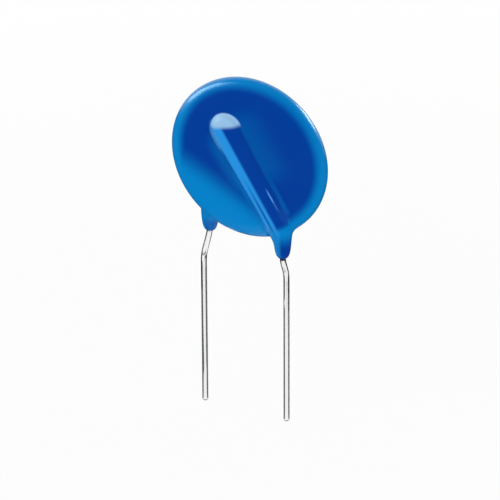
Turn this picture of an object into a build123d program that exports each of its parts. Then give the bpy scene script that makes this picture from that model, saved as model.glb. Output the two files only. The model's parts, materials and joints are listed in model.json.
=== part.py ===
from build123d import *
import math
import os

# A leaded disc varistor. A sintered zinc oxide disc has a silver electrode on each face, and
# a tinned copper wire is soldered slantwise across each electrode. The wires leave the disc
# at its lower edge, one in front and one behind. A glossy epoxy coat covers the disc, swells
# over each wire as a ridge, and runs down each wire as a short leg. Below its leg each wire
# has a kink that brings it to the middle plane, where it goes into a circuit board.
#
# Axes: +Z is up, away from the board. X runs along the row of leads, and Y through the
# thickness of the disc, with the front face towards -Y. The origin is midway between the two
# leads, at the height where the kinks end: that is where the part stops on its board.

# Driving dimensions, in millimetres.

# The ceramic disc and its electrodes.
ceramic_diameter = 18.0
ceramic_thickness = 2.0
ceramic_edge_rounding = 0.15
electrode_margin = 0.8  # bare ceramic round an electrode
electrode_thickness = 0.03

# The wires, and where they run.
wire_diameter = 0.7
wire_end_rounding = 0.3
lead_pitch = 10.7
lead_length = 18.6
wire_reach = 4.6  # how far a wire runs past the centre of the disc
wire_offset = 0.28  # how far above the centre of the disc its slanting line passes
edge_bend_radius = 1.0  # the bend at the edge of the ceramic
kink_bend_radius = 3.0  # both bends of a kink
kink_height = 3.3  # from the board up to where the upper bend would have its corner
kink_clearance = 0.02  # from the board up to the lower bend

# The solder that holds a wire to its electrode.
solder_film = 0.05  # solder between wire and electrode
solder_thickness = 0.6
solder_half_width = 0.95
solder_past_wire = 0.5  # past the upper end of the wire
solder_to_electrode_edge = 0.3
solder_rounding = 0.35

# The epoxy coat.
coat_on_edge = 0.75
coat_on_face = 0.52
coat_on_wire = 0.67
coat_beside_wire = 0.77  # where a ridge turns into its leg
coat_on_wire_end = 0.57  # at the foot of a leg, which tapers
coat_past_wire = 1.2  # from the wire's upper end to the ridge's
rim_flat = 0.3  # the flat band between the two roundings of the rim
ridge_head_radius = 1.7
leg_end_flat = 0.16  # the flat that the rounding leaves on the foot of a leg
root_blend = 1.0  # where a ridge or leg grows out of the disc
leg_root_blend = 1.5  # where a ridge turns into its leg
leg_pitch = 10.85
front_leg_foot_height = 3.5
rear_leg_foot_height = 3.2

# The disc and its legs sit a little to the right of the two leads.
disc_clearance = 4.95  # from the board up to the disc
disc_offset = 0.65
leg_offset = 0.17

# Worked out from the values above.
ceramic_radius = ceramic_diameter / 2
electrode_radius = ceramic_radius - electrode_margin
coat_radius = ceramic_radius + coat_on_edge
coat_thickness = ceramic_thickness + 2 * (electrode_thickness + coat_on_face)
rim_rounding = (coat_thickness - rim_flat) / 2
centre_height = disc_clearance + coat_radius
wire_radius = wire_diameter / 2
electrode_face = ceramic_thickness / 2 + electrode_thickness
wire_plane = electrode_face + solder_film + wire_radius
ridge_half_depth = wire_radius + coat_on_wire
leg_top_radius = wire_radius + coat_beside_wire
leg_end_radius = wire_radius + coat_on_wire_end
side_rounding = leg_end_radius - leg_end_flat / 2
wire_foot_distance = ceramic_radius + wire_radius
slant_length = math.sqrt(wire_foot_distance**2 - wire_offset**2)
slant_turn = math.degrees(math.asin(wire_offset / wire_foot_distance))

FRONT = -1  # the side of the disc, as the sign of Y
REAR = 1


def leg_x(side):
    """The X of the leg on that side: the front one is on the right."""
    return leg_offset - side * leg_pitch / 2


def along_wire(side, distance):
    """The point (X, Z) on a wire's slanting line, at that distance past the disc's centre."""
    foot_x = leg_x(side) - disc_offset
    foot_z = -math.sqrt(wire_foot_distance**2 - foot_x**2)
    foot = Vector(foot_x, foot_z)
    down = foot.normalized().rotate(Axis.Z, side * slant_turn)
    point = foot - down * (slant_length + distance)
    return (disc_offset + point.X, centre_height + point.Y)


def wire_foot(side):
    """The point (X, Z) where a wire turns from its slanting line down into its leg."""
    return along_wire(side, -slant_length)


def round_disc(radius, thickness, rounding):
    """A disc on the part's own centre line, with rounded edges."""
    disc = extrude(Plane.XZ * Circle(radius), thickness / 2, both=True)
    return Pos(disc_offset, 0, centre_height) * fillet(disc.edges(), rounding)


def capsule_plan(start, start_radius, end, end_radius):
    """The outline round two circles, as a face in the XZ plane."""
    with BuildSketch(Plane.XZ) as plan:
        for centre, radius in ((start, start_radius), (end, end_radius)):
            with Locations(centre):
                Circle(radius)
        make_hull()
    return plan.sketch


def side_slab(plan, side, near, far):
    """The plan made solid, from a depth of near to a depth of far on that side."""
    return extrude(Pos(0, side * near, 0) * plan, far - near, dir=(0, side, 0))


def faces_along_y(solid):
    """The flat faces of a slab that look along Y, nearest the middle plane first."""
    return sorted(solid.faces().filter_by(Axis.Y), key=lambda face: abs(face.center().Y))


def make_ceramic_disc():
    """The zinc oxide disc, with its pressed edges slightly broken."""
    return round_disc(ceramic_radius, ceramic_thickness, ceramic_edge_rounding)


def make_electrode(side):
    """The silver layer fired on one face of the ceramic."""
    plan = Pos(disc_offset, 0, centre_height) * (Plane.XZ * Circle(electrode_radius))
    return side_slab(plan, side, ceramic_thickness / 2, electrode_face)


def make_wire(side):
    """One lead: slanting across its electrode, down its leg, through its kink, then straight."""
    end_x, end_z = along_wire(side, wire_reach)
    foot_x, foot_z = wire_foot(side)
    lead_x = -side * lead_pitch / 2
    depth = side * wire_plane

    # The lower bend ends just above the board, so its corner stands higher by the length that
    # the bend takes up, which depends on the angle that the wire turns through.
    across = math.hypot(depth, foot_x - lead_x)
    fall = kink_height - kink_clearance
    run = math.sqrt(fall**2 + across * (across - 2 * kink_bend_radius))
    tangent_of_half_turn = across / (fall + run)
    kink_foot = kink_clearance + kink_bend_radius * tangent_of_half_turn

    route = FilletPolyline(
        (end_x, depth, end_z),
        (foot_x, depth, foot_z),
        (foot_x, depth, kink_height),
        (lead_x, 0, kink_foot),
        (lead_x, 0, -lead_length),
        radius=[edge_bend_radius, kink_bend_radius, kink_bend_radius],
    )
    section = Plane(route @ 0, z_dir=route % 0) * Circle(wire_radius)
    wire = sweep(section, path=route)
    return fillet(wire.edges().filter_by(is_wire_end(route)), wire_end_rounding)


def is_wire_end(route):
    """A test for the two round edges at the ends of a wire."""
    ends = (route @ 0, route @ 1)

    def test(edge):
        if edge.geom_type != GeomType.CIRCLE:
            return False
        return any((edge.arc_center - end).length < wire_radius / 10 for end in ends)

    return test


def make_solder(side, wire):
    """The bead of solder that lies along a wire on its electrode, without the wire."""
    head = along_wire(side, wire_reach + solder_past_wire - solder_half_width)
    edge_distance = electrode_radius - solder_to_electrode_edge - solder_half_width
    foot = along_wire(side, -edge_distance)
    plan = capsule_plan(head, solder_half_width, foot, solder_half_width)
    bead = side_slab(plan, side, electrode_face, electrode_face + solder_thickness)
    bead = fillet(faces_along_y(bead)[-1].edges(), solder_rounding)
    return bead - wire


def make_ridge_and_leg(side):
    """The coat's swelling over one wire: a ridge on the face, and the leg that runs on from it."""
    head = along_wire(side, wire_reach + coat_past_wire - ridge_head_radius)
    foot = wire_foot(side)
    foot_height = front_leg_foot_height if side == FRONT else rear_leg_foot_height
    low = (leg_x(side), foot_height + leg_end_radius)
    ridge = capsule_plan(head, ridge_head_radius, foot, leg_top_radius)
    leg = capsule_plan(foot, leg_top_radius, low, leg_end_radius)
    plan = ridge + leg

    # The only corner that lies on none of the circles is where the ridge turns into the leg.
    rounds = ((head, ridge_head_radius), (foot, leg_top_radius), (low, leg_end_radius))
    corners = [v for v in plan.vertices() if is_clear_of(v, rounds)]
    plan = fillet(corners, leg_root_blend)

    near, far = wire_plane - ridge_half_depth, wire_plane + ridge_half_depth
    slab = side_slab(plan, side, near, far)
    edges = [edge for face in faces_along_y(slab) for edge in face.edges()]
    return fillet(edges, side_rounding)


def is_clear_of(vertex, rounds):
    """True if a corner of a plan lies outside each of the circles."""
    on_edge = 1e-3
    return all(
        math.hypot(vertex.X - x, vertex.Z - z) > radius + on_edge for (x, z), radius in rounds
    )


def make_coat_outside():
    """The outer form of the epoxy coat, as if it were solid."""
    outside = round_disc(coat_radius, coat_thickness, rim_rounding)
    for side in (FRONT, REAR):
        swelling = make_ridge_and_leg(side)
        joined = outside + swelling
        roots = new_edges(outside, swelling, combined=joined)
        outside = fillet(roots, root_blend)
    return outside


def main():
    """Builds each piece and writes it to a file of its own."""
    parts = {"ceramic_disc": make_ceramic_disc()}
    for name, side in (("front", FRONT), ("rear", REAR)):
        wire = make_wire(side)
        parts[f"{name}_electrode"] = make_electrode(side)
        parts[f"{name}_lead"] = wire
        parts[f"{name}_solder"] = make_solder(side, wire)
    parts["epoxy_coat"] = make_coat_outside() - list(parts.values())

    os.makedirs("parts", exist_ok=True)
    for name, shape in parts.items():
        export_step(shape, f"parts/{name}.step")


main()
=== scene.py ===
# %% [markdown]
# # A leaded disc varistor, dressed in Blender
#
# The part is a ceramic disc with a wire soldered across each face, dipped in blue epoxy. The
# solids already say where everything is, so this lesson only adds looks: the coat as one
# flowing skin, the finish of each piece, and a small studio.
#
# The frame is loaded first. It holds the solids at their real size, in metres, and every piece
# made below is placed in it without any fitting.

# %% Load the frame
import json
import math

import bmesh
import bpy
from mathutils import Matrix, Vector

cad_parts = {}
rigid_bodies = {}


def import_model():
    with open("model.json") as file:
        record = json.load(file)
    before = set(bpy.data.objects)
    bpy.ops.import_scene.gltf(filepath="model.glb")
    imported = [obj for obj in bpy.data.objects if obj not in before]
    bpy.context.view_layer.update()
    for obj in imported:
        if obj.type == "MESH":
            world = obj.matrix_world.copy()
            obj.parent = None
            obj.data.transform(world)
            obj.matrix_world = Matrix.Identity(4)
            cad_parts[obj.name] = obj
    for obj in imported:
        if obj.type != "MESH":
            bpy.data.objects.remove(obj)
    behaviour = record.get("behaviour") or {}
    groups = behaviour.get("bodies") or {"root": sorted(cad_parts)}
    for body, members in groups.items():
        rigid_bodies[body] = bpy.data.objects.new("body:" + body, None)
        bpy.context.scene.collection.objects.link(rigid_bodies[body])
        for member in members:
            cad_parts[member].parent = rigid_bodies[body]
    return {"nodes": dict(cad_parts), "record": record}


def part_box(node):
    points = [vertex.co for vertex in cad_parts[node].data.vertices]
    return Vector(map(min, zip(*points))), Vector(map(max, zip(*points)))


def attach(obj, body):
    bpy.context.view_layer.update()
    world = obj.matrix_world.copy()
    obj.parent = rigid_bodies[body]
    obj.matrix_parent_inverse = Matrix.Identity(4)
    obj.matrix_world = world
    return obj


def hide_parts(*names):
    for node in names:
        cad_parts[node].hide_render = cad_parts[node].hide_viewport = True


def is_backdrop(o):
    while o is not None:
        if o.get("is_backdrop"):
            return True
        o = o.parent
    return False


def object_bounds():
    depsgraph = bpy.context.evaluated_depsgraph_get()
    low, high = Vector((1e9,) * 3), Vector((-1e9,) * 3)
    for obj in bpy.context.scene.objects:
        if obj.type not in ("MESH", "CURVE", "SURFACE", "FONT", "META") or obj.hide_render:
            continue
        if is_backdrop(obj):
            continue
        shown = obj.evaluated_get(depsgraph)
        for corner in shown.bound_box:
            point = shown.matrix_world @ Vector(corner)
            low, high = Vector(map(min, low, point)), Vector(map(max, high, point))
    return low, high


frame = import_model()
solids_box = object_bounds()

print("solids:", ", ".join(sorted(frame["nodes"])))

# %% [markdown]
# ## Sizes that everything shares
#
# A maker thinks of this part in millimetres, and Blender counts in metres, so one small factor
# turns the first into the second. Positions are read from the solids and from the two lead
# mounts where possible, so that the looks follow the part if it changes.

# %% Read the sizes of the disc and the leads
MM = 0.001

low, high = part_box("ceramic_disc")
disc_centre = (low + high) / 2
ceramic_radius = (high.x - low.x) / 2
coat_low, coat_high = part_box("epoxy_coat")
coat_radius = coat_high.z - disc_centre.z

mounts = {mount["name"]: mount for mount in frame["record"]["mounts"]}
front_lead_x = mounts["front_lead_pin"]["pos_m"][0]
wire_radius = mounts["front_lead_pin"]["dims"]["r_mm"] * MM

print("disc centre", [round(v / MM, 2) for v in disc_centre], "mm")
print("coated radius", round(coat_radius / MM, 2), "mm")

# %% [markdown]
# ## The epoxy coat
#
# The real coat starts as a liquid. The disc is dipped with its wires down, and surface tension
# rounds everything: the rim, the swelling over each wire, and the leg that stays on the wire.
# There isn't one sharp corner on it.
#
# One could model it as a single net of faces, but a net that runs round a disc, over two
# crossing ridges and down two legs is hard to draw. It is easier to work as the liquid does:
# make each mass by itself, let them overlap, melt them into one skin with a voxel remesh, and
# smooth that skin until it flows. Each mass is a plain shape that an operator makes.
#
# The first helper turns a half outline about an axis. Its corners are rounded first, with a
# bevel on the outline's points, and the ends on the axis are merged so that the shape closes.


# %% A turned mass from a half outline
def turned_mass(outline, centre, axis, roundings, steps=96):
    """A bmesh turned from (radius, height) points about an axis through the centre."""
    mass = bmesh.new()
    upright = [mass.verts.new((radius, 0, height)) for radius, height in outline]
    for first, second in zip(upright, upright[1:]):
        mass.edges.new((first, second))
    for corner, rounding in roundings.items():
        bmesh.ops.bevel(
            mass,
            geom=[upright[corner]],
            offset=rounding,
            offset_type="OFFSET",
            segments=10,
            profile=0.5,
            affect="VERTICES",
            material=-1,
        )
    bmesh.ops.spin(
        mass,
        geom=mass.verts[:] + mass.edges[:],
        cent=(0, 0, 0),
        axis=(0, 0, 1),
        angle=math.tau,
        steps=steps,
        use_merge=True,
    )
    bmesh.ops.remove_doubles(mass, verts=mass.verts[:], dist=0.001 * MM)
    turn = Vector((0, 0, 1)).rotation_difference(Vector(axis)).to_matrix().to_4x4()
    bmesh.ops.transform(mass, matrix=Matrix.Translation(centre) @ turn, verts=mass.verts[:])
    return mass


print("turning helper ready")

# %% [markdown]
# ### The body of the disc
#
# Seen from the side, the coated disc is a flat slab with a full round rim. It could be a
# cylinder with a bevel modifier, but a turned outline shows the rounding at a glance. The
# smoothing that comes later eats a little off every rounded edge, so the outline is drawn that
# much larger.

# %% The body of the disc
smoothing_loss = 0.035 * MM
disc_radius = coat_radius + smoothing_loss
half_thickness = 1.55 * MM
rim_rounding = 1.45 * MM

disc_body = turned_mass(
    outline=[
        (0, -half_thickness),
        (disc_radius, -half_thickness),
        (disc_radius, half_thickness),
        (0, half_thickness),
    ],
    centre=disc_centre,
    axis=(0, -1, 0),
    roundings={1: rim_rounding, 2: rim_rounding},
    steps=128,
)
print("disc body:", len(disc_body.faces), "faces")

# %% [markdown]
# ### Where the wires and the legs run
#
# Each wire lies slantwise on its face, turns down at the edge of the ceramic, and leaves through
# its leg. Ridges, legs and webs all follow it. One could type in a place for each of them, but
# they would drift apart with the first change. So the wire's slanting line is worked out once,
# from its foot above the leg and the small distance at which it passes the centre of the disc.

# %% Where the wires and the legs run
FRONT, REAR = -1, 1
wire_depth = 1.43 * MM  # from the middle plane to a wire's centre line
wire_offset = 0.28 * MM  # the slanting line passes that far above the centre of the disc
ridge_half_depth = 1.02 * MM
leg_pitch = 10.85 * MM
leg_offset = 0.17 * MM  # the legs sit that far to the right of the leads
leg_foot_height = {FRONT: 3.5 * MM, REAR: 3.2 * MM}
leg_x = {side: leg_offset - side * leg_pitch / 2 for side in (FRONT, REAR)}
wire_foot_distance = ceramic_radius + wire_radius


def on_wire(side, distance):
    """The point on a wire's slanting line at that distance beyond the centre of the disc."""
    across = leg_x[side] - disc_centre.x
    foot = Vector((across, 0, -math.sqrt(wire_foot_distance**2 - across**2)))
    lean = -side * math.asin(wire_offset / wire_foot_distance)
    down = Matrix.Rotation(lean, 3, "Y") @ foot.normalized()
    slant_length = math.sqrt(wire_foot_distance**2 - wire_offset**2)
    point = disc_centre + foot - down * (slant_length + distance)
    point.y = side * wire_depth
    return point


leaves_disc = on_wire(FRONT, -wire_foot_distance)
print("front wire leaves the disc at", [round(v / MM, 2) for v in leaves_disc], "mm")

# %% [markdown]
# ### A ridge over each wire
#
# The coat swells over the wire and its solder. The ridge is broad at its head, where the solder
# ends in a blob, and narrow at its foot, where it turns into the leg. A swept tube could follow
# the wire, but it would be as wide at both ends. Two rounded masses, one at each end, with a
# skin stretched over both, give just the right form. The skin is a convex hull: the form that
# a rubber sheet would take round them.

# %% A ridge, as a skin stretched over two pillows
ridge_head = {"beyond": 4.1 * MM, "aside": -0.15 * MM, "radius": 1.95 * MM}
ridge_foot = {"beyond": -8.2 * MM, "aside": 0.3 * MM, "radius": 1.55 * MM}
pillow_rounding = 0.8 * MM


def pillow(side, beyond, aside, radius):
    """A round cushion beyond the disc's centre on one wire, a little aside of its line."""
    centre = on_wire(side, beyond)
    uphill = on_wire(side, 0) - on_wire(side, -wire_foot_distance)
    across = uphill.cross(Vector((0, side, 0))).normalized()
    proud = ridge_half_depth
    outline = [(0, -proud), (radius, -proud), (radius, proud), (0, proud)]
    roundings = {1: pillow_rounding, 2: pillow_rounding}
    return turned_mass(outline, centre + across * aside, (0, side, 0), roundings, steps=64)


def stretched_skin(mass):
    """The mass with a skin stretched over all of it."""
    hull = bmesh.ops.convex_hull(mass, input=mass.verts[:], use_existing_faces=False)
    left_over = {*hull["geom_interior"], *hull["geom_unused"]}
    points = [item for item in left_over if isinstance(item, bmesh.types.BMVert)]
    bmesh.ops.delete(mass, geom=points, context="VERTS")
    return mass


def ridge_mass(side):
    """The swelling over one wire."""
    mass = pillow(side, **ridge_head)
    foot = pillow(side, **ridge_foot)
    copied = bpy.data.meshes.new("foot")
    foot.to_mesh(copied)
    foot.free()
    mass.from_mesh(copied)
    bpy.data.meshes.remove(copied)
    return stretched_skin(mass)


ridges = [ridge_mass(side) for side in (FRONT, REAR)]
print("ridges:", [len(ridge.faces) for ridge in ridges], "faces")

# %% [markdown]
# ### A leg down each wire
#
# When the part is lifted from the bath, the coat drains along the wires and leaves a leg on
# each: a soft cone that narrows downwards and ends in a round drop. A leg is round, so it is
# turned about its wire from a half outline, and then made a little thinner than it is wide.


# %% A leg on each wire
def leg_mass(side):
    """The drained coat on one wire, below the ridge."""
    centre = Vector((leg_x[side], side * wire_depth, leg_foot_height[side]))
    outline = [
        (0, -0.04 * MM),
        (0.5 * MM, -0.02 * MM),
        (0.86 * MM, 0.42 * MM),
        (1.0 * MM, 1.1 * MM),
        (1.08 * MM, 2.1 * MM),
        (1.12 * MM, 3.4 * MM),
        (0, 4.2 * MM),
    ]
    mass = turned_mass(outline, centre, (0, 0, 1), {}, steps=48)
    about_wire = Matrix.Translation(-centre)
    bmesh.ops.scale(mass, vec=(1, 0.9, 1), space=about_wire, verts=mass.verts[:])
    return mass


legs = [leg_mass(side) for side in (FRONT, REAR)]
print("legs:", [len(leg.faces) for leg in legs], "faces")

# %% [markdown]
# ### The web at the top of a leg
#
# Where a leg leaves the disc, the liquid fills the corner with a web. It could be left to the
# smoothing, but that only fills a corner as far as its own reach. So the web gets a mass of its
# own: a small ball on the leg, a larger, flatter one inside the disc, and a skin over both.

# %% The webs
web_ball_on_leg = {"depth": 1.35 * MM, "height": 2.0 * MM, "radii": (1.0, 0.95, 1.0)}
web_ball_in_disc = {"beyond": -7.3 * MM, "depth": 0.8 * MM, "radii": (2.1, 1.3, 2.1)}


def add_ball(mass, centre, radii):
    """Adds a ball to a bmesh, with three radii of its own, in millimetres."""
    sizes = Matrix.Diagonal((*(radius * MM for radius in radii), 1))
    place = Matrix.Translation(centre) @ sizes
    bmesh.ops.create_uvsphere(mass, u_segments=48, v_segments=24, radius=1, matrix=place)


def web_mass(side):
    """The flare where a leg leaves the disc, as a skin over the two balls."""
    mass = bmesh.new()
    height = leg_foot_height[side] + web_ball_on_leg["height"]
    on_leg = Vector((leg_x[side], side * web_ball_on_leg["depth"], height))
    in_disc = on_wire(side, web_ball_in_disc["beyond"])
    in_disc.y = side * web_ball_in_disc["depth"]
    add_ball(mass, on_leg, web_ball_on_leg["radii"])
    add_ball(mass, in_disc, web_ball_in_disc["radii"])
    return stretched_skin(mass)


webs = [web_mass(side) for side in (FRONT, REAR)]
print("webs:", [len(web.faces) for web in webs], "faces")

# %% [markdown]
# ### Melting the masses into one skin
#
# The masses go into one mesh, still overlapping. A voxel remesh keeps only what can be seen
# from outside and lays an even net over it. The net follows every crease between two masses,
# so it is smoothed many times by a little: each point moves towards the middle of its
# neighbours, which rounds the creases into the fillets that a liquid makes.


# %% Joining and melting
def joined(masses, name):
    """One mesh object out of several bmeshes."""
    everything = bpy.data.meshes.new(name)
    collected = bmesh.new()
    for mass in masses:
        bmesh.ops.recalc_face_normals(mass, faces=mass.faces[:])
        one = bpy.data.meshes.new("mass")
        mass.to_mesh(one)
        mass.free()
        collected.from_mesh(one)
        bpy.data.meshes.remove(one)
    collected.to_mesh(everything)
    collected.free()
    piece = bpy.data.objects.new(name, everything)
    bpy.context.scene.collection.objects.link(piece)
    return piece


def melted(piece, voxel_size, smoothings):
    """The piece's outer skin, as an even net that is smoothed."""
    remesh = piece.modifiers.new("melt", "REMESH")
    remesh.mode = "VOXEL"
    remesh.voxel_size = voxel_size
    remesh.adaptivity = 0
    shaped = piece.evaluated_get(bpy.context.evaluated_depsgraph_get())
    skin = bmesh.new()
    skin.from_mesh(shaped.to_mesh())
    shaped.to_mesh_clear()
    piece.modifiers.clear()
    for _ in range(smoothings):
        every_axis = {"use_axis_x": True, "use_axis_y": True, "use_axis_z": True}
        bmesh.ops.smooth_vert(skin, verts=skin.verts[:], factor=0.5, **every_axis)
    for face in skin.faces:
        face.smooth = True
    bmesh.ops.recalc_face_normals(skin, faces=skin.faces[:])
    skin.to_mesh(piece.data)
    skin.free()
    return piece


print("joining and melting ready")

# %% [markdown]
# ### The skin in place of the solid
#
# The finer the net, the crisper the fillets, and the more smoothings it takes to round them.
# Nine points to the millimetre and 60 smoothings round a crease over about a millimetre, as on
# the real coat. The skin then takes the place of the solid coat.

# %% One skin
coat = joined([disc_body, *ridges, *legs, *webs], "epoxy_skin")
melted(coat, voxel_size=0.11 * MM, smoothings=60)
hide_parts("epoxy_coat")
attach(coat, "root")

corners = [vertex.co for vertex in coat.data.vertices]
for axis in range(3):
    lowest, highest = min(c[axis] for c in corners), max(c[axis] for c in corners)
    print("XYZ"[axis], round(lowest / MM, 3), "to", round(highest / MM, 3), end="; ")
    print("solid", round(coat_low[axis] / MM, 3), "to", round(coat_high[axis] / MM, 3))
print("coat:", len(coat.data.vertices), "points")

# %% [markdown]
# ## Finishes
#
# Each finish is a node material. Its nodes could be placed by hand in the editor, but a finish
# that mixes a dozen masks is easier to read and to change as code. A few helpers keep it short.
# The first one adds a node and fills or links its inputs, and the others do sums with values.


# %% Nodes and sums
def add_node(tree, kind, inputs=None, **options):
    """Adds a node, sets its options, and fills or links its inputs."""
    made = tree.nodes.new(kind)
    for option, value in options.items():
        setattr(made, option, value)
    for socket, value in (inputs or {}).items():
        if isinstance(value, bpy.types.NodeSocket):
            tree.links.new(value, made.inputs[socket])
        else:
            made.inputs[socket].default_value = value
    return made


def maths(tree, operation, first, second=0.0):
    """One Math node."""
    return add_node(tree, "ShaderNodeMath", {0: first, 1: second}, operation=operation).outputs[0]


def product(tree, first, *others):
    """The values multiplied."""
    for other in others:
        first = maths(tree, "MULTIPLY", first, other)
    return first


def largest(tree, first, *others):
    """The largest of the values."""
    for other in others:
        first = maths(tree, "MAXIMUM", first, other)
    return first


def without(tree, value, taken):
    """The value, less where the other mask takes it away."""
    return product(tree, value, maths(tree, "SUBTRACT", 1.0, taken))


print("nodes and sums ready")

# %% [markdown]
# ### Masks and mixes
#
# A mask is a value that is 0 in some places and 1 in others, with a soft step between. It says
# which of two colours shows, so a mask comes before every mix. A colour ramp could draw the
# step too, but the two ends of a Map Range node are plain measures that one can read.


# %% Masks and mixes
def soft_mask(tree, value, start, end):
    """0 where the value is at start, 1 where it is at end, and soft in between."""
    ends = {"Value": value, "From Min": start, "From Max": end, "To Min": 0.0, "To Max": 1.0}
    made = add_node(tree, "ShaderNodeMapRange", ends, interpolation_type="SMOOTHSTEP")
    return made.outputs["Result"]


def limits(tree, value, low, high, soft):
    """1 where the value lies between low and high, with soft ends outside them."""
    from_low = soft_mask(tree, value, low - soft, low)
    return product(tree, from_low, soft_mask(tree, value, high + soft, high))


def mixed(tree, share, first, second):
    """The first colour where the share is 0, and the second where it is 1."""
    made = tree.nodes.new("ShaderNodeMix")
    made.data_type = "RGBA"
    colours = [socket for socket in made.inputs if socket.type == "RGBA"]
    tree.links.new(share, made.inputs["Factor"])
    for socket, colour in zip(colours, (first, second)):
        if isinstance(colour, bpy.types.NodeSocket):
            tree.links.new(colour, socket)
        else:
            socket.default_value = (*colour, 1)
    return next(socket for socket in made.outputs if socket.type == "RGBA")


print("masks and mixes ready")

# %% [markdown]
# ### The start of a material
#
# Every finish starts from one shader. Its patterns lie on Object coordinates, which are the
# part's own metres and stay with it wherever it goes. They are turned into millimetres, so that
# every measure in a mask is one that a ruler would show.


# %% The start of a material
def new_material(name):
    """An empty node material with its output and shader."""
    material = bpy.data.materials.new(name)
    material.use_nodes = True
    tree = material.node_tree
    tree.nodes.clear()
    shader = add_node(tree, "ShaderNodeBsdfPrincipled")
    add_node(tree, "ShaderNodeOutputMaterial", {"Surface": shader.outputs["BSDF"]})
    return material, tree, shader


def in_millimetres(tree, centre=(0, 0, 0)):
    """Object coordinates in millimetres, measured from a centre."""
    place = add_node(tree, "ShaderNodeTexCoord").outputs["Object"]
    away = tuple(-value / MM for value in centre)
    mapping = {"Vector": place, "Location": away, "Scale": (1 / MM,) * 3}
    return add_node(tree, "ShaderNodeMapping", mapping).outputs["Vector"]


print("material helpers ready")

# %% [markdown]
# ### Fine unevenness
#
# No surface on this part is perfect: the epoxy has the faint ripple that painters call orange
# peel, the wire has drawing marks, and the ceramic has grains. All are one idea at different
# sizes, so it is built once as a node group. It takes a place and a grain size, and gives a
# height for a bump and a slow variation for roughness or colour.


# %% The group for fine unevenness
def make_unevenness_group():
    """A node group: place and grain size in, height and slow variation out."""
    group = bpy.data.node_groups.new("fine unevenness", "ShaderNodeTree")
    sockets = group.interface
    sockets.new_socket(name="Place", in_out="INPUT", socket_type="NodeSocketVector")
    sockets.new_socket(name="Grains per mm", in_out="INPUT", socket_type="NodeSocketFloat")
    sockets.new_socket(name="Height", in_out="OUTPUT", socket_type="NodeSocketFloat")
    sockets.new_socket(name="Variation", in_out="OUTPUT", socket_type="NodeSocketFloat")
    given = group.nodes.new("NodeGroupInput")
    fine = {"Vector": given.outputs["Place"], "Scale": given.outputs["Grains per mm"]}
    grains = add_node(group, "ShaderNodeTexNoise", {**fine, "Detail": 2.0, "Roughness": 0.45})
    slow_scale = maths(group, "MULTIPLY", given.outputs["Grains per mm"], 0.23)
    slow = {"Vector": given.outputs["Place"], "Scale": slow_scale, "Detail": 1.0}
    drift = add_node(group, "ShaderNodeTexNoise", slow)
    result = group.nodes.new("NodeGroupOutput")
    group.links.new(grains.outputs["Fac"], result.inputs["Height"])
    group.links.new(drift.outputs["Fac"], result.inputs["Variation"])
    return group


unevenness_group = make_unevenness_group()
print("group sockets:", [item.name for item in unevenness_group.interface.items_tree])

# %% [markdown]
# ### Bump and roughness
#
# In a material the group's height goes through a Bump node, which bends the light as small
# waves would and leaves the mesh as it is. The slow variation moves the roughness a little, so
# that no highlight is perfectly even.


# %% Bump and roughness
def unevenness(tree, place, grains_per_mm):
    """Places the group in a material."""
    inputs = {"Place": place, "Grains per mm": grains_per_mm}
    made = add_node(tree, "ShaderNodeGroup", inputs, node_tree=unevenness_group).outputs
    return made["Height"], made["Variation"]


def set_bump(tree, shader, height, depth):
    """Sends a height through a Bump node to the shader's normal. The depth is in metres."""
    bump = add_node(tree, "ShaderNodeBump", {"Strength": 1.0, "Distance": depth, "Height": height})
    tree.links.new(bump.outputs["Normal"], shader.inputs["Normal"])


def set_roughness(tree, shader, variation, smooth, rough):
    """Lets the roughness wander between two values."""
    ends = {"Value": variation, "From Min": 0.3, "From Max": 0.7, "To Min": smooth, "To Max": rough}
    made = add_node(tree, "ShaderNodeMapRange", ends)
    tree.links.new(made.outputs["Result"], shader.inputs["Roughness"])
    return made.outputs["Result"]


print("bump and roughness ready")

# %% [markdown]
# ### Blue epoxy
#
# The coat is a blue resin over a dark disc. Where it lies thin over the ceramic it looks deep
# blue. Where it is thick, or has nothing dark behind it, it looks lighter: at the rim and on
# the legs. Light and shade are painted into the colour as well: a painted reflection that
# lightens the face towards the lower edge, painted light at the rim and beside the ridges,
# painted shade on the ridges and the front leg, and painted highlights. One could paint all
# this as a picture and wrap it on, but a picture has a fixed sharpness and a seam. Here the
# colour is a mix of blues, and masks made from the place on the part say which one shows, so it
# stays smooth however close one looks.
#
# The masks need a few measures of a place, in millimetres from the centre of the disc. The
# rear face is the front one turned by half a turn, so X changes its sign there, and one set of
# masks serves both faces. One measure runs down along a ridge, towards its leg, and one runs
# across it, towards the painted reflection at the lower left.

# %% Places on the coat
ridge_runs = (0.529, -0.849)
# The side across a ridge that faces the painted reflection
painted_reflection_side = (-0.849, -0.529)

blue_epoxy, tree, shader = new_material("blue epoxy")
place = in_millimetres(tree, disc_centre)
axes = add_node(tree, "ShaderNodeSeparateXYZ", {"Vector": place}).outputs
above = maths(tree, "ABSOLUTE", axes["Y"])
own_x = product(tree, axes["X"], maths(tree, "SIGN", axes["Y"]), -1.0)
own_place = add_node(tree, "ShaderNodeCombineXYZ", {"X": own_x, "Z": axes["Z"]}).outputs["Vector"]


def distance_from(tree, place, x, z):
    """How far a place on a face is from a point on it, in millimetres."""
    inputs = {0: place, 1: (x, 0, z)}
    return add_node(tree, "ShaderNodeVectorMath", inputs, operation="DISTANCE").outputs["Value"]


def along_direction(tree, place, x, z):
    """How far a place on a face lies in a direction, in millimetres."""
    inputs = {0: place, 1: (x, 0, z)}
    return add_node(tree, "ShaderNodeVectorMath", inputs, operation="DOT_PRODUCT").outputs["Value"]


down_wire = along_direction(tree, own_place, *ridge_runs)
beside_wire = along_direction(tree, own_place, *painted_reflection_side)
print("measures of a place:", len(tree.nodes), "nodes")
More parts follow.
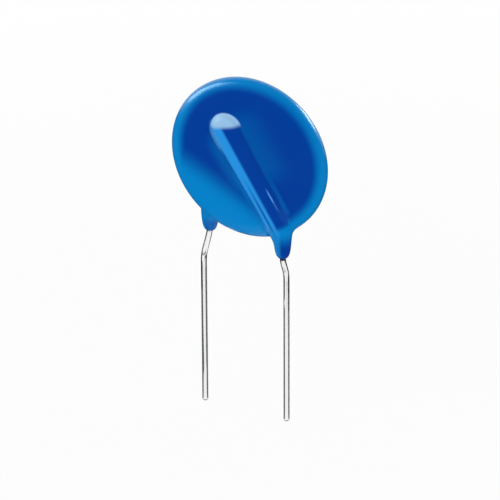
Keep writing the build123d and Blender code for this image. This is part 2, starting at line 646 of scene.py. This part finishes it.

# %% [markdown]
# ### The light rim and the painted reflection
#
# At the rim the resin is thick, and painted light lies over it as well. The rim's mask grows
# with the distance from a point a little above and to the right of the centre, because the
# light rim is broader at the lower left. Down the side of the disc some distance is added, so
# that the side is light all round. Below the ridge a painted reflection lightens the face, and
# its mask grows straight towards the lower left.

# %% Light rim and painted reflection
face_height = 1.55
rim_middle = (0.643, 0.766)
# The way the painted reflection grows
painted_reflection_runs = (-0.447, -0.894)

from_face = largest(tree, maths(tree, "SUBTRACT", face_height, above), 0.0)
rim_place = distance_from(tree, own_place, *rim_middle)
rim_place = maths(tree, "ADD", rim_place, product(tree, from_face, 0.3))
# Thick resin at the rim, with painted light laid over it
rim = soft_mask(tree, rim_place, 7.95, 9.35)
# Painted reflection: the face lightens towards the lower left
painted_reflection_pool = soft_mask(tree, along_direction(tree, own_place, *painted_reflection_runs), 2.7, 6.4)
print("with rim and pool:", len(tree.nodes), "nodes")

# %% [markdown]
# ### The ridge and the face beside it
#
# The top of a ridge is thin resin over solder. On the side away from its light band it is kept
# deep blue as far as its foot, as painted shade. Both roots of the ridge get painted light, and
# the face next to them a painted glow of light that fades away. Each of these is a mask across
# the ridge times a mask along it, and none of them climbs onto the ridge itself.

# %% Ridge and its surroundings
on_ridge = soft_mask(tree, above, 1.75, 2.1)
# Painted shade: the top of the ridge, away from its light band, stays deep blue
ridge_painted_shade = product(
    tree,
    on_ridge,
    soft_mask(tree, down_wire, 8.9, 8.1),
    soft_mask(tree, beside_wire, -0.1, -0.4),
)
# Painted light: a thin light line along the right root of the ridge
right_root_painted_light = product(
    tree, limits(tree, beside_wire, -2.3, -2.15, 0.3), limits(tree, down_wire, -3.0, 7.0, 1.0), 0.22
)
# Painted light: a glow on the face right of the ridge
right_painted_glow = product(
    tree,
    soft_mask(tree, beside_wire, -6.3, -2.2),
    soft_mask(tree, beside_wire, 0.0, -2.0),
    limits(tree, down_wire, -3.5, 1.5, 3.0),
    0.24,
)
# Painted light: a glow on the face left of the ridge
left_painted_glow = product(
    tree,
    soft_mask(tree, beside_wire, 3.9, 2.0),
    soft_mask(tree, beside_wire, 0.0, 1.5),
    limits(tree, down_wire, -2.5, 2.0, 2.5),
    0.35,
)
# Painted light along the left root of the ridge
left_root_painted_light = product(
    tree, limits(tree, beside_wire, 1.3, 2.0, 0.5), limits(tree, down_wire, 1.0, 6.0, 2.0), 0.5
)
# All the painted light beside a ridge, kept off the ridge itself
painted_light_by_ridge = largest(tree, right_root_painted_light, right_painted_glow, left_painted_glow, left_root_painted_light)
painted_light_beside_ridge = without(tree, painted_light_by_ridge, on_ridge)
print("with the ridge:", len(tree.nodes), "nodes")

# %% [markdown]
# ### The legs, and the two blues
#
# The front leg is light on its left, and deep blue on its right and at its tip, as painted
# shade. The rear leg is darker down its middle. With these masks the two blues can be mixed:
# light where the resin is thick and where painted light lies, but not where one of the dark
# masks lies.

# %% Legs and the two blues
deep_blue = (0.0, 0.048, 0.345)
# This light blue serves both thick resin and painted light
thick_resin_and_painted_light_blue = (0.0, 0.235, 0.63)

in_front = soft_mask(tree, axes["Y"], -0.2, -0.7)
# Painted shade at the tip of the front leg
leg_tip_painted_shade = product(tree, soft_mask(tree, axes["Z"], -10.3, -11.1), in_front)
# Painted shade down the right of the front leg
front_leg_painted_shade = product(
    tree,
    soft_mask(tree, axes["X"], 4.6, 5.3),
    soft_mask(tree, axes["Z"], -7.4, -9.6),
    in_front,
)
rear_leg = product(
    tree,
    soft_mask(tree, axes["X"], -4.0, -4.3),
    soft_mask(tree, axes["X"], -6.6, -5.9),
    soft_mask(tree, axes["Z"], -9.0, -10.2),
    0.6,
)
# The dark masks: painted shade on the ridge tops and the front leg, and the rear leg's darker
# middle
dark = largest(tree, ridge_painted_shade, leg_tip_painted_shade, front_leg_painted_shade, rear_leg)
# Light blue for thick resin, painted light and the painted reflection
thick_resin_and_painted_light = without(tree, largest(tree, rim, painted_reflection_pool, painted_light_beside_ridge), dark)
blues = mixed(tree, thick_resin_and_painted_light, deep_blue, thick_resin_and_painted_light_blue)
print("deep blue", deep_blue, "and light blue", thick_resin_and_painted_light_blue)

# %% [markdown]
# ### The painted light band on a ridge
#
# Along the side that faces the painted reflection, each ridge has a bright band of painted
# light. A dark line of painted crease shade splits it in two, faintly at first and clearly near
# the foot. At the head the band ends in a paler shoulder, a painted highlight. Both are mixed
# over the two blues, one after the other, as a painter lays glazes.

# %% Painted light band and highlight shoulder
# The colour of the painted light band
painted_light_band_blue = (0.02, 0.3, 0.8)
# Painted shade: a crease line down the band
painted_crease_shade = product(
    tree, limits(tree, beside_wire, 0.3, 0.4, 0.22), soft_mask(tree, down_wire, 0.0, 7.5), 0.9
)
# Painted light along the flank of the ridge
painted_light_band = product(
    tree,
    soft_mask(tree, beside_wire, -0.5, 0.0),
    soft_mask(tree, beside_wire, 1.8, 0.85),
    soft_mask(tree, down_wire, 9.8, 7.4),
    soft_mask(tree, above, 1.6, 1.9),
)
blues = mixed(tree, without(tree, painted_light_band, painted_crease_shade), blues, painted_light_band_blue)

# Painted highlight: the paler shoulder at the head of the band
painted_highlight_shoulder_blue = (0.056, 0.3, 0.7)
painted_highlight_shoulder = product(
    tree,
    soft_mask(tree, beside_wire, 0.7, 1.1),
    soft_mask(tree, down_wire, -1.6, -3.2),
    soft_mask(tree, above, 1.57, 1.72),
)
blues = mixed(tree, painted_highlight_shoulder, blues, painted_highlight_shoulder_blue)
print("with the band:", len(tree.nodes), "nodes")

# %% [markdown]
# ### Painted highlights
#
# At the head of a ridge a pale patch is painted into the colour as a highlight. The patch is
# round above, where it follows the solder's end, and cut off straight below. Nearer the foot a
# thin gleam along the wire is a painted highlight too. Highlights from lamps would wander over
# the part as one walks round it; these painted ones stay where they are.

# %% Painted gleam and highlight patch
# Painted highlight: a thin gleam along the wire
painted_gleam_blue = (0.09, 0.31, 0.84)
painted_gleam = product(
    tree,
    limits(tree, beside_wire, -1.59, -1.54, 0.08),
    largest(
        tree,
        limits(tree, down_wire, 4.4, 5.0, 1.0),
        product(tree, limits(tree, down_wire, 4.6, 6.0, 0.8), 0.3),
    ),
    on_ridge,
)
blues = mixed(tree, painted_gleam, blues, painted_gleam_blue)

# Painted highlight: the pale patch at the head of the ridge
painted_highlight_patch_blue = (0.32, 0.56, 0.84)
painted_highlight_patch = product(
    tree,
    soft_mask(tree, distance_from(tree, own_place, -2.0, 3.8), 2.12, 1.92),
    soft_mask(tree, along_direction(tree, own_place, 0.25, -0.968), -4.35, -4.95),
    soft_mask(tree, above, 1.6, 1.7),
)
blues = mixed(tree, painted_highlight_patch, blues, painted_highlight_patch_blue)
tree.links.new(blues, shader.inputs["Base Color"])
print("with the painted highlights:", len(tree.nodes), "nodes")

# %% [markdown]
# ### The gloss of the epoxy
#
# Cured epoxy is nearly as smooth as the liquid was. A roughness round 0.2 keeps highlights
# crisp, and a bump of two thousandths of a millimetre gives them a faint ripple. Only the pale
# patch is matt. The highlights of the photo are bluish, so the mirror share of the shader is
# tinted and weakened: a plain one would lay a grey veil over so deep a blue.

# %% Gloss of the epoxy
height, variation = unevenness(tree, place, 0.9)
set_bump(tree, shader, height, 0.002 * MM)
wandering = set_roughness(tree, shader, variation, 0.17, 0.22)
# The painted highlight patch is made matt
matt_patch = largest(tree, wandering, product(tree, painted_highlight_patch, 0.5))
tree.links.new(matt_patch, shader.inputs["Roughness"])
shader.inputs["Specular IOR Level"].default_value = 0.3
shader.inputs["Specular Tint"].default_value = (0.25, 0.7, 0.95, 1.0)
coat.data.materials.clear()
coat.data.materials.append(blue_epoxy)
print("blue epoxy:", len(tree.nodes), "nodes")

# %% [markdown]
# ### Tinned copper
#
# The leads are copper wire with a bright coat of tin. Tin is a soft, pale grey metal, and the
# wire was drawn through a die, so its unevenness is stretched along its length.

# %% Tinned copper
tinned_copper, tree, shader = new_material("tinned copper")
place = in_millimetres(tree)
stretched = add_node(
    tree, "ShaderNodeMapping", {"Vector": place, "Scale": (3.0, 3.0, 0.35)}
).outputs["Vector"]
height, variation = unevenness(tree, stretched, 1.6)
set_bump(tree, shader, height, 0.001 * MM)
set_roughness(tree, shader, variation, 0.16, 0.22)
tin = mixed(tree, variation, (0.86, 0.87, 0.88), (0.95, 0.95, 0.95))
tree.links.new(tin, shader.inputs["Base Color"])
shader.inputs["Metallic"].default_value = 1.0


def dress(node, material):
    """Gives a solid of the frame its material."""
    mesh = frame["nodes"][node].data
    mesh.materials.clear()
    mesh.materials.append(material)


for lead in ("front_lead", "rear_lead"):
    dress(lead, tinned_copper)
print("leads dressed")

# %% [markdown]
# ### The pieces inside
#
# Nothing of these shows while the coat is whole, but a part that is cut open or shown without
# its coat needs them finished too: a dark, grainy ceramic, a matt layer of fired silver, and
# bright solder.


# %% Ceramic, silver and solder
def grained_material(name, dark, pale, grains_per_mm, depth, smooth, rough, metal):
    """A finish whose colour wanders between two tones."""
    material, tree, shader = new_material(name)
    height, variation = unevenness(tree, in_millimetres(tree), grains_per_mm)
    tree.links.new(mixed(tree, height, dark, pale), shader.inputs["Base Color"])
    set_bump(tree, shader, height, depth)
    set_roughness(tree, shader, variation, smooth, rough)
    shader.inputs["Metallic"].default_value = metal
    return material


zinc_oxide = grained_material(
    "zinc oxide", (0.12, 0.13, 0.12), (0.24, 0.25, 0.24), 14, 0.01 * MM, 0.6, 0.8, 0.0
)
fired_silver = grained_material(
    "fired silver", (0.7, 0.7, 0.68), (0.88, 0.88, 0.86), 9, 0.004 * MM, 0.4, 0.55, 1.0
)
solder = grained_material(
    "solder", (0.6, 0.61, 0.62), (0.78, 0.79, 0.8), 3, 0.01 * MM, 0.18, 0.35, 1.0
)
dress("ceramic_disc", zinc_oxide)
for side_name in ("front", "rear"):
    dress(f"{side_name}_electrode", fired_silver)
    dress(f"{side_name}_solder", solder)
print("inside dressed")

# %% [markdown]
# ## The studio
#
# The photo has a plain white ground. Here the floor is a sheet of white paper at the lead tips,
# so wide that its edge is out of sight. A white world alone could be the ground too, but only
# paper takes light and shadow.

# %% The floor
floor_height = solids_box[0][2]
floor_reach = 1.5
floor_mesh = bpy.data.meshes.new("floor")
sheet = bmesh.new()
at_tips = Matrix.Translation((0, 0, floor_height))
bmesh.ops.create_grid(sheet, x_segments=1, y_segments=1, size=floor_reach, matrix=at_tips)
sheet.to_mesh(floor_mesh)
sheet.free()
floor = bpy.data.objects.new("floor", floor_mesh)
bpy.context.scene.collection.objects.link(floor)
floor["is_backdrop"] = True


def matt_grey(name, shade):
    """A matt material of one grey, with its tree and shader."""
    material, tree, shader = new_material(name)
    shader.inputs["Base Color"].default_value = (shade, shade, shade, 1)
    shader.inputs["Roughness"].default_value = 1.0
    shader.inputs["Specular IOR Level"].default_value = 0.0
    return material, tree, shader


paper, tree, shader = matt_grey("white paper", 0.9)
floor_mesh.materials.append(paper)
print("floor at", round(floor_height / MM, 2), "mm")

# %% [markdown]
# ### The glow of the floor
#
# More light would turn the paper quite white, but would bleach the part as well. So the paper
# also glows, for the rays that show the background and for no others. Near the part a tenth of
# what shows is the lit paper, which keeps its shadow.


# %% The glow of the floor
def seen_share(tree):
    """1 for rays that show the background, straight or in a reflection."""
    rays = tree.nodes.new("ShaderNodeLightPath").outputs
    seen = maths(tree, "MAXIMUM", rays["Is Camera Ray"], rays["Is Glossy Ray"])
    return maths(tree, "MAXIMUM", seen, rays["Is Transmission Ray"])


glow = add_node(tree, "ShaderNodeEmission", {"Color": (1, 1, 1, 1), "Strength": 1.0})
from_part = add_node(
    tree, "ShaderNodeVectorMath", {0: in_millimetres(tree)}, operation="LENGTH"
).outputs["Value"]
far_away = soft_mask(tree, from_part, 40.0, 150.0)
share = add_node(
    tree,
    "ShaderNodeMapRange",
    {"Value": far_away, "From Min": 0.0, "From Max": 1.0, "To Min": 0.9, "To Max": 1.0},
).outputs["Result"]
part_glow = maths(tree, "MULTIPLY", seen_share(tree), share)
both = add_node(
    tree, "ShaderNodeMixShader", {0: part_glow, 1: shader.outputs[0], 2: glow.outputs[0]}
)
output = next(n for n in tree.nodes if n.bl_idname == "ShaderNodeOutputMaterial")
tree.links.new(both.outputs[0], output.inputs["Surface"])
print("floor glow:", len(tree.nodes), "nodes")

# %% [markdown]
# ### The world
#
# The world is the soft light from all round, which no lamp gives so evenly. As a light it is
# three quarters as strong as white, because the lamps add the rest. The camera and reflections
# see it plain white, like the ground of the photo.

# %% The world
world_light = 0.75
world = bpy.data.worlds.new("studio")
world.use_nodes = True
bpy.context.scene.world = world
tree = world.node_tree
tree.nodes.clear()
as_light = add_node(tree, "ShaderNodeBackground", {"Color": (1, 1, 1, 1), "Strength": world_light})
as_seen = add_node(tree, "ShaderNodeBackground", {"Color": (1, 1, 1, 1), "Strength": 1.0})
either = add_node(
    tree,
    "ShaderNodeMixShader",
    {0: seen_share(tree), 1: as_light.outputs[0], 2: as_seen.outputs[0]},
)
add_node(tree, "ShaderNodeOutputWorld", {"Surface": either.outputs[0]})
print("world light", world_light)

# %% [markdown]
# ### Lamps
#
# Three softboxes bring the part up to the level at which a colour renders as it is written, and
# give it a little form. A lamp is named by the side it comes from, and set by its level: how
# bright a white card would look if it faced that lamp alone. That way the levels add up by eye,
# and moving a lamp further away doesn't dim it. Reflections don't see these lamps.


# %% Softboxes
def softbox(name, direction, distance, size, level):
    """An area lamp that looks at the disc."""
    lamp = bpy.data.lights.new(name, "AREA")
    lamp.shape = "RECTANGLE"
    lamp.size, lamp.size_y = size
    lamp.energy = level * math.pi**2 * distance**2
    holder = bpy.data.objects.new(name, lamp)
    away = Vector(direction).normalized()
    holder.location = disc_centre + away * distance
    holder.rotation_euler = away.to_track_quat("Z", "Y").to_euler()
    bpy.context.scene.collection.objects.link(holder)
    return holder


lamps = [
    softbox("key from the front", (-0.2, -0.8, 0.55), 0.5, (0.5, 0.5), 0.2),
    softbox("fill on the left", (-0.92, -0.1, 0.35), 0.35, (0.28, 0.28), 0.1),
    softbox("fill on the right", (0.87, -0.38, 0.32), 0.35, (0.28, 0.28), 0.12),
]
for lamp in lamps:
    lamp.visible_glossy = False
print("lamps:", ", ".join(lamp.name for lamp in lamps))

# %% [markdown]
# ### White cards for the rim
#
# The rim of the real part carries two crisp highlights. A photographer makes such highlights
# with white cards, each set where the rim mirrors it. A card here is a softbox that does
# nothing but show in reflections, so it can be as bright as it has to be and still bleaches
# nothing. Its long side stands upright, so that its highlight runs along the rim.


# %% White cards
def white_card(name, direction, size, radiance):
    """An upright softbox that only reflections see, as bright as the radiance says."""
    distance = 0.3
    level = radiance * size[0] * size[1] / (math.pi * distance**2)
    card = softbox(name, direction, distance, size, level)
    card.visible_diffuse = False
    card.visible_transmission = False
    away = Vector(direction).normalized()
    length = Vector((0, 0, 1))
    length = (length - away * length.dot(away)).normalized()
    width = length.cross(away)
    card.rotation_euler = Matrix((width, length, away)).transposed().to_euler()
    return card


cards = [
    white_card("card for the left rim, low", (-0.98, -0.05, 0.2), (0.17, 0.08), 9.0),
    white_card("card for the left rim, high", (-0.87, -0.06, 0.49), (0.15, 0.12), 9.0),
    white_card("card for the top of the rim", (-0.7, 0.0, 0.7), (0.06, 0.1), 5.0),
    white_card("card for the right rim", (0.34, 0.92, 0.2), (0.14, 0.08), 11.0),
]
print("white cards:", ", ".join(card.name for card in cards))

# %% [markdown]
# ### Dark cards
#
# A glossy part mirrors the whole studio. White all round would lay a pale veil over the blue
# and would leave bright metal without an edge, white on white. So a photographer surrounds it
# with dark cards, called flags, and leaves gaps of white where a highlight is wanted. Each
# card here is a line swept round an upright axis with a spin: a line that lies flat gives a
# ring on the floor, and one that stands gives a wall. Only reflections see them.


# %% Helpers for cards
def glossy_only(name, shape, material):
    """Makes a card that only reflections see."""
    mesh = bpy.data.meshes.new(name)
    shape.to_mesh(mesh)
    shape.free()
    mesh.materials.append(material)
    card = bpy.data.objects.new(name, mesh)
    bpy.context.scene.collection.objects.link(card)
    for ray in ("camera", "diffuse", "transmission", "volume_scatter", "shadow"):
        setattr(card, f"visible_{ray}", False)
    card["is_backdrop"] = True
    return card


def swept_card(name, ends, centre, start, turn, material):
    """A line between two (radius, height) ends, swept round an upright axis, in degrees."""
    ring = bmesh.new()
    corners = [ring.verts.new((radius, 0, height)) for radius, height in ends]
    ring.edges.new(corners)
    bmesh.ops.spin(
        ring,
        geom=ring.verts[:] + ring.edges[:],
        cent=(0, 0, 0),
        axis=(0, 0, 1),
        angle=math.radians(turn),
        steps=48,
        use_merge=turn >= 360,
    )
    turned = Matrix.Rotation(math.radians(start), 4, "Z")
    place = Matrix.Translation((*centre, 0)) @ turned
    bmesh.ops.transform(ring, matrix=place, verts=ring.verts[:])
    return glossy_only(name, ring, material)


def flag(name, inner, outer, start, turn, height, centre=(0, 0)):
    """A flat black card that lies round a point at that height."""
    return swept_card(name, ((inner, height), (outer, height)), centre, start, turn, black_card)


def wall(name, radius, foot, top, start, turn, centre=(0, 0)):
    """A black card that stands round a point."""
    return swept_card(name, ((radius, foot), (radius, top)), centre, start, turn, black_card)


black_card, tree, shader = matt_grey("black card", 0.01)
print("card helpers ready")

# %% [markdown]
# ### A tent overhead
#
# The upper side of the rim mirrors the sky above the part. A dark tent overhead keeps it blue.
# The tent is the cap of a sphere, with everything below its hem cut away, so that white shows
# all round beneath it.

# %% The tent
tent_radius = 0.42
tent_hem = 240 * MM  # above the centre of the disc

tent_cloth, tree, shader = matt_grey("tent cloth", 0.1)
tent = bmesh.new()
bmesh.ops.create_uvsphere(
    tent,
    u_segments=64,
    v_segments=64,
    radius=tent_radius,
    matrix=Matrix.Translation(disc_centre),
)
bmesh.ops.bisect_plane(
    tent,
    geom=tent.verts[:] + tent.edges[:] + tent.faces[:],
    dist=0.001 * MM,
    plane_co=disc_centre + Vector((0, 0, tent_hem)),
    plane_no=(0, 0, -1),
    clear_outer=True,
)
print("tent:", len(tent.faces), "faces")
glossy_only("tent", tent, tent_cloth)

# %% [markdown]
# ### Flags on the floor
#
# The faces and the lower rim mirror the floor. A wide black ring keeps them deep blue, and two
# part rings inside it do the same for what lies nearer. The floor straight in front of the
# leads stays white, because the middle of each wire mirrors it. Two small flags hang close
# under the part: one keeps the lower right of the rim dark, and one the foot of the front leg.

# %% Floor flags
camera_turn = 27.598  # how far round from the front the camera stands, in degrees
facing = camera_turn - 90
on_floor = floor_height + 0.2 * MM
under_leg = leg_foot_height[FRONT] - 0.15 * MM
below_leg = (leg_x[FRONT], -1.2 * MM)

flag("outer flag", 42 * MM, 140 * MM, 0, 360, on_floor)
flag("right flag", 27.5 * MM, 42 * MM, facing + 60, 90, on_floor)
flag("left flag", 10 * MM, 42 * MM, facing - 210, 150, on_floor)
flag("flag under the right rim", 2 * MM, 17 * MM, -100, 175, 2 * MM, (leg_x[FRONT], -wire_depth))
flag("flag under the front leg", 0.5 * MM, 1.3 * MM, 0, 360, under_leg, below_leg)
print("floor flags placed, facing", round(facing, 1), "degrees")

# %% [markdown]
# ### Walls beside the leads
#
# A wire is a mirror bent into a tube: its middle shows what lies in front of it, and its edges
# show what lies to the sides. So each lead gets two narrow grey walls, one on each side, and
# grey paper at their feet. They turn both edges of the wire grey and leave its middle white. A
# small grey spot under each tip gives its rounded end an edge.

# %% Walls beside the leads
grey_card, tree, shader = matt_grey("grey card", 0.16)
wall_radius = 2.6 * MM
wall_from, wall_to = 58, 168  # degrees to each side of the way to the camera
wall_top = -5 * MM
high_wall_top = -1 * MM
foot_radius = 0.4 * MM
spot_radius = 0.45 * MM
on_paper = floor_height + 0.01 * MM

for title, lead_x, right_top in (
    ("front", front_lead_x, wall_top),
    ("rear", -front_lead_x, high_wall_top),
):
    for side_name, start, top in (
        ("right", facing + wall_from, right_top),
        ("left", facing - wall_to, wall_top),
    ):
        beside = f"{title} lead {side_name}"
        upright = ((wall_radius, floor_height), (wall_radius, top))
        flat = ((foot_radius, on_floor), (wall_radius, on_floor))
        turn = wall_to - wall_from
        swept_card(f"{beside} wall", upright, (lead_x, 0), start, turn, grey_card)
        swept_card(f"{beside} foot", flat, (lead_x, 0), start, turn, grey_card)
    spot = bmesh.new()
    under_tip = Matrix.Translation((lead_x, 0, on_paper))
    bmesh.ops.create_circle(spot, cap_ends=True, segments=24, radius=spot_radius, matrix=under_tip)
    glossy_only(f"{title} lead spot", spot, grey_card)
print("grey walls", wall_radius / MM, "mm from each lead")

# %% [markdown]
# ### Black walls
#
# Black walls stand where the rim, the ridge and the rear kink would mirror white at places that
# are dark in the photo. Each is no wider and no higher than that takes, because the white beside
# it still makes the highlights.

# %% Black walls
beside_kink = (-5.4 * MM, 0.4 * MM)
wall("front wall", 120 * MM, floor_height, 5 * MM, -205, 215)
wall("left wall", 60 * MM, floor_height, 10 * MM, -195, 35)
wall("high front wall", 12 * MM, 12 * MM, 42 * MM, -155, 170)
wall("wall left of the rear kink", 5 * MM, 0.9 * MM, 5 * MM, -190, 48, beside_kink)
print("black walls placed")

# %% [markdown]
# ### White paper near the kinks
#
# A kink leans, so it mirrors other places than the straight wire does, and its middle would
# turn black where it meets a flag. Small strips of white paper, close to each kink, stand in
# the way and keep its middle white. They glow by themselves, because no light has to reach
# them.


# %% Paper strips
def paper_strip(name, centre, along, up, size):
    """A strip of white paper. Its centre and its size are in millimetres."""
    strip = bmesh.new()
    turned = Matrix((along, up, Vector(along).cross(up))).transposed().to_4x4()
    place = Matrix.Scale(MM, 4) @ Matrix.Translation(centre) @ turned
    sizes = Matrix.Diagonal((size[0] / 2, size[1] / 2, 1, 1))
    bmesh.ops.create_grid(strip, x_segments=1, y_segments=1, size=1, matrix=place @ sizes)
    return glossy_only(name, strip, white_strip)


white_strip, tree, shader = matt_grey("white strip", 0.0)
shader.inputs["Emission Color"].default_value = (1, 1, 1, 1)
shader.inputs["Emission Strength"].default_value = 1.0
paper_strip("strip before the rear kink", (-4.3, -4, -0.7), (1, 0, 0), (0, 0, 1), (9.5, 2.4))
paper_strip("strip beside the rear kink", (-3.3, 0.5, 1.7), (0, 1, 0), (0, 0, 1), (2.4, 3.0))
paper_strip("strip below the front kink", (3.9, -1.5, -3.9), (1, 0, 0), (0, 1, 0), (2.0, 0.95))
print("paper strips placed")

# %% [markdown]
# ### Where the camera stands
#
# The photo was taken from the front and a little to the right, looking down. The angles come
# from fitting a camera to the disc's outline and the two leads. The camera's axes are worked
# out from those angles: back, towards the camera, then right and up, both rolled by a third of
# a degree.

# %% Where the camera stands
camera_height, camera_roll = 28.073, -0.305  # in degrees
azimuth, elevation, roll = map(math.radians, (camera_turn, camera_height, camera_roll))
back = Vector(
    (
        math.sin(azimuth) * math.cos(elevation),
        -math.cos(azimuth) * math.cos(elevation),
        math.sin(elevation),
    )
)
right = Vector((math.cos(azimuth), math.sin(azimuth), 0))
up = back.cross(right)
frame_right = right * math.cos(roll) + up * math.sin(roll)
frame_up = up * math.cos(roll) - right * math.sin(roll)
print("towards the camera:", [round(v, 3) for v in back])

# %% [markdown]
# ### The lens
#
# The photo shows hardly any perspective, so it was taken through a very long lens. At half a
# metre a lens of 314 mm shows a field 57 mm wide. The camera looks at a point below the disc's
# centre, which alone sets the framing, so the lens needs no shift.

# %% The lens
camera_distance = 0.5
look_right, look_down = 0.0102, 11.927  # millimetres from the centre of the disc
looked_at = disc_centre + right * look_right * MM + Vector((0, 0, -look_down * MM))
lens = bpy.data.cameras.new("camera")
lens.sensor_width = 36
lens.lens = 314.28
lens.clip_start = 0.01
camera = bpy.data.objects.new("camera", lens)
camera_axes = Matrix((frame_right, frame_up, back)).transposed().to_4x4()
camera.matrix_world = Matrix.Translation(looked_at + back * camera_distance) @ camera_axes
bpy.context.scene.collection.objects.link(camera)
bpy.context.scene.camera = camera
bpy.context.scene.view_settings.view_transform = "Standard"
print("camera at", [round(v, 3) for v in camera.matrix_world.translation])

# %% [markdown]
# ## The size of the dressed part
#
# The looks may not make the part larger. So the size of the box round the dressed part is
# printed.

# %% The size of the dressed part
dressed_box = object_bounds()
dressed_size = [round((high - low) / MM, 2) for low, high in zip(*dressed_box)]
print("dressed size", dressed_size, "mm")
